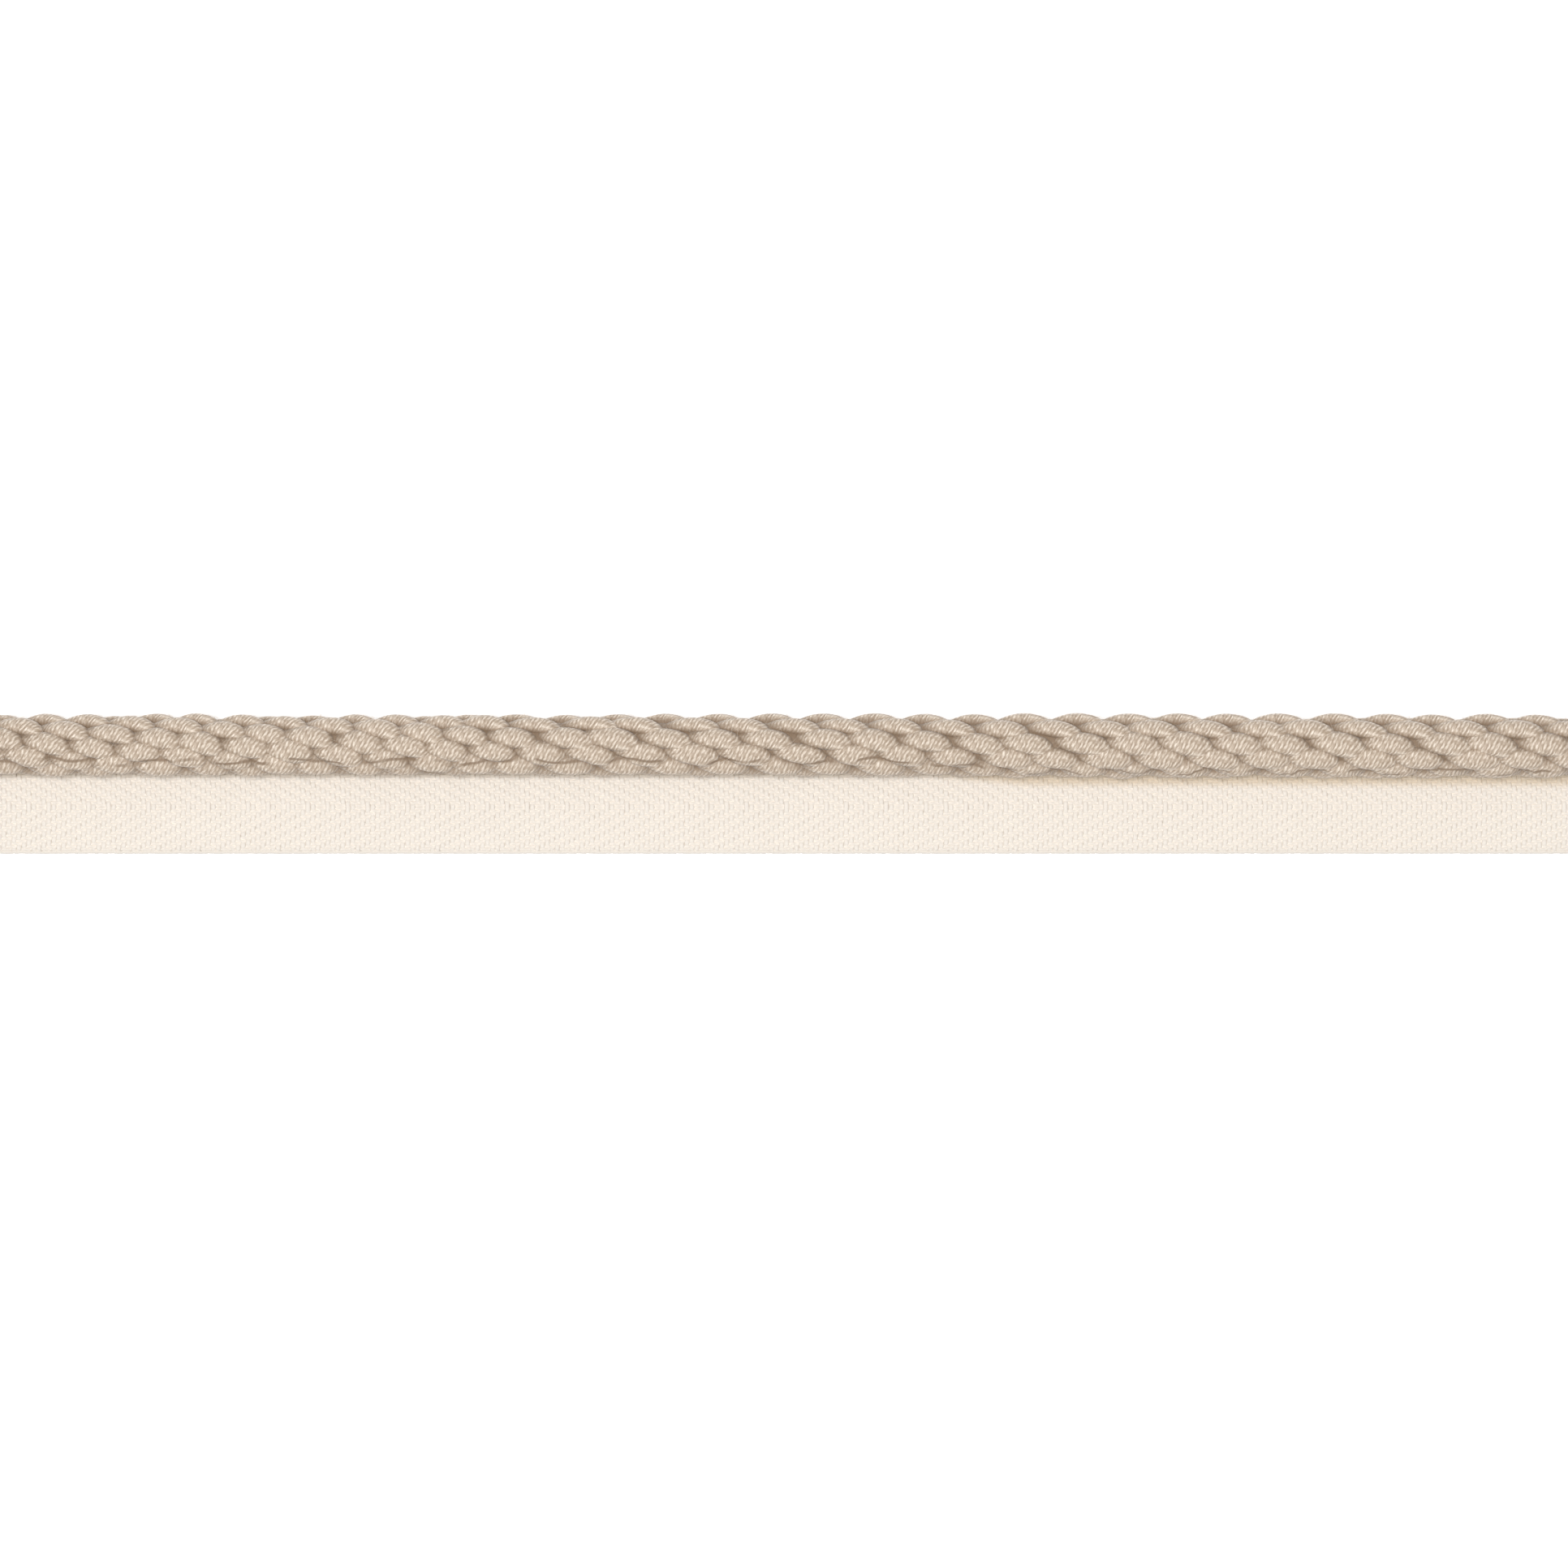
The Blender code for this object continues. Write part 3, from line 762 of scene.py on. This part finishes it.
def sew_and_press(piece):
    """Draw a piece of the cord in along the line of sunk stitches, and press it flat where it rests."""
    places = mesh_places(piece.data)
    x, y, z = places[:, 0], CORD_Y - places[:, 1], places[:, 2] - CORD_Z
    radius = np.hypot(y, z)
    line = np.interp(x, STITCH_LINE["x"], STITCH_LINE["angle"])
    line += sum(reach * np.sin(x / period) for period, reach in STITCH_SWAY)
    off = (np.arctan2(y, z) - line) * radius / STITCH_PULL_SPREAD
    held = np.clip(STITCH_HELD + sum(reach * np.sin(x / period) for period, reach in STITCH_GAPS), 0, 1)
    pull = STITCH_PULL * held * np.exp(-off * off) * (radius > STITCH_PULL_FROM)
    places[:, 1] += pull * y / np.maximum(radius, MM)
    places[:, 2] -= pull * z / np.maximum(radius, MM)
    seat = np.interp(
        places[:, 1], (TAPE_HIGH.y, TAPE_HIGH.y + SEAT_STEP), (TAPE_THICKNESS, ABOVE_FLOOR)
    )
    places[:, 2] = np.maximum(places[:, 2], seat)
    places[:, 0] = np.clip(places[:, 0], CORD_LOW.x, CORD_HIGH.x)
    move_mesh(piece.data, places)


taupe = taupe_yarn()
wrapped_yarn = yarn_tree("wrapped strand", wrapped=True)
FIRST_FLOAT = math.floor(COUNT_AT["floats"][0]) - ROWS
LAST_FLOAT = math.ceil(COUNT_AT["floats"][-1])
chance = random.Random(BRAID_SEED)
floats = []
for group in range(ROWS // ROWS_IN_PIECE):
    strand_lines = []
    for row in range(ROWS_IN_PIECE * group, ROWS_IN_PIECE * (group + 1)):
        for number in range(FIRST_FLOAT, LAST_FLOAT + 1):
            line = cut_line(float_line(row, number, chance), chance)
            if line:
                strand_lines.append(line)
    floats += strand_lines
    strands = yarn_piece(
        f"cord_strands_{group + 1}",
        strand_lines,
        wrapped_yarn,
        {
            "Half width": STRAND_HALF_WIDTH,
            "Flatness": STRAND_FLATNESS,
            "Wrap pitch": WRAP_PITCH,
            "Wrap height": WRAP_HEIGHT,
            "Wrap starts": WRAP_STARTS,
            "Unevenness": WRAP_UNEVENNESS,
            "Points": POINTS_PER_FLOAT,
            "Sides": STRAND_SIDES,
            "Yarn": taupe,
        },
    )
    sew_and_press(strands)
    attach(strands, "root")
    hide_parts("braided_cord")


# Inside of the cord: the hidden lengths of the same taupe strands. They fill its middle and keep it
# round, and are cut off just inside both ends.
CORE_RADIUS = 3.6 * MM
CORE_INSET = 0.15 * MM
CORE_POINTS = 60

core_reach = LENGTH / 2 - CORE_INSET
core_line = [((x, CORD_Y, CORD_Z), UP, 1.0) for x in np.linspace(-core_reach, core_reach, CORE_POINTS)]
core = yarn_piece(
    "cord_inside",
    [core_line],
    plain_yarn,
    {"Half width": CORE_RADIUS, "Flatness": 1.0, "Sides": 24, "Unevenness": 0.0, "Yarn": taupe},
)
sew_and_press(core)
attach(core, "root")
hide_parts("braided_cord")


# Sewing thread: one beige polyester thread, 0.36 mm thick, zigzagged along the tape's hidden edge. It
# lies under the tape, and at each needle hole it goes up through the tape and bites into the cord.
THREAD = 0.36 * MM
THREAD_POINTS = 4000
STITCH = 3.0 * MM
STITCHES = 78
NEEDLE_HOLES = (1.8 * MM, 2.95 * MM)
HALF_HOLE = 0.12 * MM
BITES = ((2.8 * MM, 3.2 * MM), (3.4 * MM, 2.4 * MM))
THREAD_DEPTH = 0.25 * MM
THREAD_BEND = 0.1
THREAD_SIDEWAYS = (0.8, 0, 0.6)

thread_line = []
for number in range(2 * STITCHES + 1):
    x = (number - STITCHES) * STITCH / 2
    hole, bite = Vector((0, NEEDLE_HOLES[number % 2], THREAD_DEPTH)), Vector((0, *BITES[number % 2]))
    climb = [hole.lerp(bite, share) for share in (0, THREAD_BEND, 1)]
    for step, places in ((-HALF_HOLE, climb), (HALF_HOLE, climb[::-1])):
        for place in places:
            thread_line.append((tuple(place + Vector((x + step, 0, 0))), THREAD_SIDEWAYS, 1.0))

# Spun polyester, dyed beige: smoother than the cotton, with a low sheen
polyester = new_material(
    "beige spun polyester thread",
    {"Base Color": linear("#CDBEAA"), "Roughness": 0.6, "Sheen Weight": 0.2},
)
thread = yarn_piece(
    "sewing_thread",
    [thread_line],
    wrapped_yarn,
    {
        "Half width": THREAD / 2,
        "Flatness": 1.0,
        "Wrap pitch": 0.6 * MM,
        "Wrap height": 0.03 * MM,
        "Wrap starts": 2,
        "Unevenness": 0.0,
        "Points": THREAD_POINTS,
        "Sides": 6,
        "Yarn": polyester,
    },
)
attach(thread, "root")


# Loose fibres: short ends that work out of the soft-spun yarn, stand a little off the strands and make
# the cord's outline soft. More of them stand on its cut ends, where the yarn begins to fray. They are
# drawn about twice as thick as real ones, which would be too fine to show.
FIBRE = 0.036 * MM
FIBRES_PER_FLOAT = 12
FIBRE_LENGTHS = (0.6 * MM, 1.8 * MM)
FIBRE_TURN = 1.2
FIBRE_LIFT = (0.1, 0.6)
FIBRE_BEND = 0.5
FIBRE_TAPER = 0.6
FIBRE_SHARES = (-0.1, 0.25, 0.5, 0.75, 1.0)
FRAYED_PER_END = 260
FRAYED_LENGTHS = (0.3 * MM, 1.3 * MM)
FRAYED_RADIUS = CORD_RADIUS * 0.93
FRAYED_SPREAD = 0.7


def curled(root, way, length, chance):
    """Guide line of a fibre that starts at its root, and bends and tapers as it goes."""
    way = way.normalized()
    bend = Vector([chance.uniform(-1, 1) for _ in range(3)]).cross(way) * FIBRE_BEND
    sideways = tuple(way.cross(bend).normalized())
    return [
        (tuple(root + (way * share + bend * share * share) * length), sideways, 1.0 - FIBRE_TAPER * share)
        for share in FIBRE_SHARES
    ]


def loose_fibre(line, chance):
    """Guide line of a fibre that leaves a strand's back at a random spot and curls off it."""
    spot = chance.randrange(2, len(line) - 2)
    place, outward, size = line[spot]
    outward = Vector(outward)
    ahead = (Vector(line[spot + 1][0]) - Vector(place)).normalized()
    side = outward.cross(ahead).normalized()
    turn = chance.uniform(-FIBRE_TURN, FIBRE_TURN)
    normal = side * math.sin(turn) + outward * math.cos(turn)
    half = size * STRAND_HALF_WIDTH
    root = Vector(place) + side * math.sin(turn) * half + outward * math.cos(turn) * half * STRAND_FLATNESS
    way = ahead * chance.uniform(-1, 1) + side * chance.uniform(-1, 1) + normal * chance.uniform(*FIBRE_LIFT)
    return curled(root, way, chance.uniform(*FIBRE_LENGTHS), chance)


fibre_lines = []
for line in floats:
    for _ in range(FIBRES_PER_FLOAT):
        fibre = loose_fibre(line, chance)
        root, _, _ = fibre[0]
        if abs(root[0]) < LENGTH / 2 - CUT_FACE:
            fibre_lines.append(fibre)
for end in (-1, 1):
    for _ in range(FRAYED_PER_END):
        angle = chance.uniform(0, 2 * math.pi)
        radius = FRAYED_RADIUS * math.sqrt(chance.random())
        y, z = CORD_Y + radius * math.cos(angle), CORD_Z + radius * math.sin(angle)
        aside, upwards = (chance.uniform(-FRAYED_SPREAD, FRAYED_SPREAD) for _ in range(2))
        length = chance.uniform(*FRAYED_LENGTHS)
        root, way = Vector((end * LENGTH / 2, y, z)), Vector((end, aside, upwards))
        fibre_lines.append(curled(root, way, length, chance))

# Single fibres of the taupe yarn: paler than its strands, because light passes through them
single_fibres = new_material(
    "loose taupe fibres", {"Base Color": linear("#D9CBBA"), "Roughness": 0.55, "Sheen Weight": 0.3}
)
fibres = yarn_piece(
    "cord_loose_fibres",
    fibre_lines,
    plain_yarn,
    {"Half width": FIBRE / 2, "Flatness": 1.0, "Sides": 3, "Unevenness": 0.0, "Yarn": single_fibres},
)
places = mesh_places(fibres.data)
lowest = np.where(places[:, 1] < TAPE_HIGH.y, TAPE_THICKNESS, ABOVE_FLOOR)
places[:, 2] = np.maximum(places[:, 2], lowest)
move_mesh(fibres.data, places)
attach(fibres, "root")


# Floor, light and camera: a white table top, one broad soft light from overhead and a fainter one from
# all round, and a camera straight above, as far off as its long lens needs.
FLOOR_SIZE = 6.0
FLOOR_Z = -0.02 * MM
WINDOW_PLACE = (-0.1, 0.0, 1.3)
WINDOW_SIZE = 0.4
WINDOW_POWER = 14.4
DAYLIGHT = 0.42
WHITE = linear("#FFFFFF")
LENS = 120.0
SENSOR = 36.0
PICTURE_WIDTH = 231.84 * MM

# White painted table top: matt, with a faint glow that stands in for the light of a white room
painted_white = new_material(
    "white painted table top",
    {"Base Color": linear("#F7F7F7"), "Roughness": 0.9, "Emission Color": WHITE, "Emission Strength": 0.25},
)
half = FLOOR_SIZE / 2
corners = ((-half, -half), (half, -half), (half, half), (-half, half))
floor_mesh = bpy.data.meshes.new("floor")
floor_mesh.from_pydata([(x, y, FLOOR_Z) for x, y in corners], [], [(0, 1, 2, 3)])
floor_mesh.materials.append(painted_white)
floor = bpy.data.objects.new("floor", floor_mesh)
bpy.context.scene.collection.objects.link(floor)

world = bpy.data.worlds.new("soft daylight")
bpy.context.scene.world = world
world.use_nodes = True
world.node_tree.nodes["Background"].inputs["Color"].default_value = WHITE
world.node_tree.nodes["Background"].inputs["Strength"].default_value = DAYLIGHT

lamp = bpy.data.lights.new("window light", "AREA")
lamp.size = WINDOW_SIZE
lamp.energy = WINDOW_POWER
window = bpy.data.objects.new("window light", lamp)
window.location = WINDOW_PLACE
window.rotation_euler = (-Vector(WINDOW_PLACE)).to_track_quat("-Z", "Y").to_euler()
bpy.context.scene.collection.objects.link(window)

lens = bpy.data.cameras.new("camera")
lens.lens = LENS
lens.sensor_width = SENSOR
lens.clip_start = 0.01
camera = bpy.data.objects.new("camera", lens)
camera.location = (0, 0, CORD_Z + PICTURE_WIDTH * LENS / SENSOR)
bpy.context.scene.collection.objects.link(camera)
bpy.context.scene.camera = camera
bpy.context.scene.view_settings.view_transform = "Standard"
